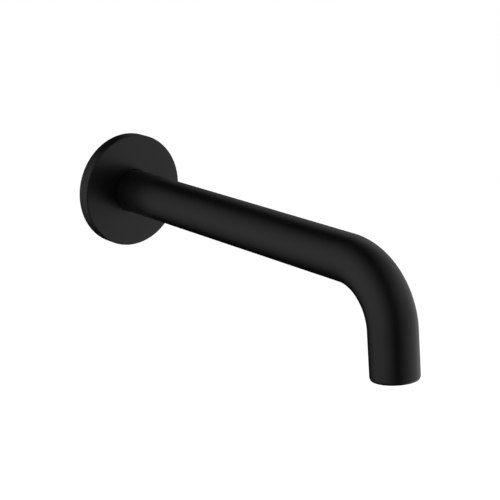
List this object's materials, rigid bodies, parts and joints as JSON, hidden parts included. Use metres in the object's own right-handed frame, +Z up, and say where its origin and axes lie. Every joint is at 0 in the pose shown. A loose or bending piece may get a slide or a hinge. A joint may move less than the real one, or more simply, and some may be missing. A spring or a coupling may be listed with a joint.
{
  "type": "wall spout",
  "caption": "Matte black wall spout: a level round tube that bends down to an aerator, with a round cover plate against the wall and a threaded inlet behind it.",
  "frame": {"origin": "centre of the inlet thread's mouth, on the tube's axis in the plane of the wall", "axes": "+Y goes into the wall, so the spout reaches out along -Y; +Z is up; +X is to the right for someone facing the wall"},
  "size_m": [0.066, 0.2374, 0.0872],
  "materials": {
    "matte_black": "matte",
    "brass": "turned",
    "rubber": "matte",
    "foam": "matte",
    "housing_plastic": "matte",
    "grid_plastic": "satin",
    "insert_plastic": "satin",
    "filter_plastic": "satin"
  },
  "bodies": {
    "root": {"spout_tube": "matte_black", "outlet_bend": "matte_black", "cover_plate": "matte_black", "plate_seal": "rubber", "wall_gasket": "foam", "inlet_connector": "brass", "inlet_washer": "rubber", "outlet_ring": "brass", "aerator_washer": "rubber", "aerator_housing": "housing_plastic", "outlet_grid": "grid_plastic", "jet_disc": "insert_plastic", "regulator_body": "insert_plastic", "regulator_ring": "rubber", "filter_screen": "filter_plastic"}
  },
  "joints": []
}
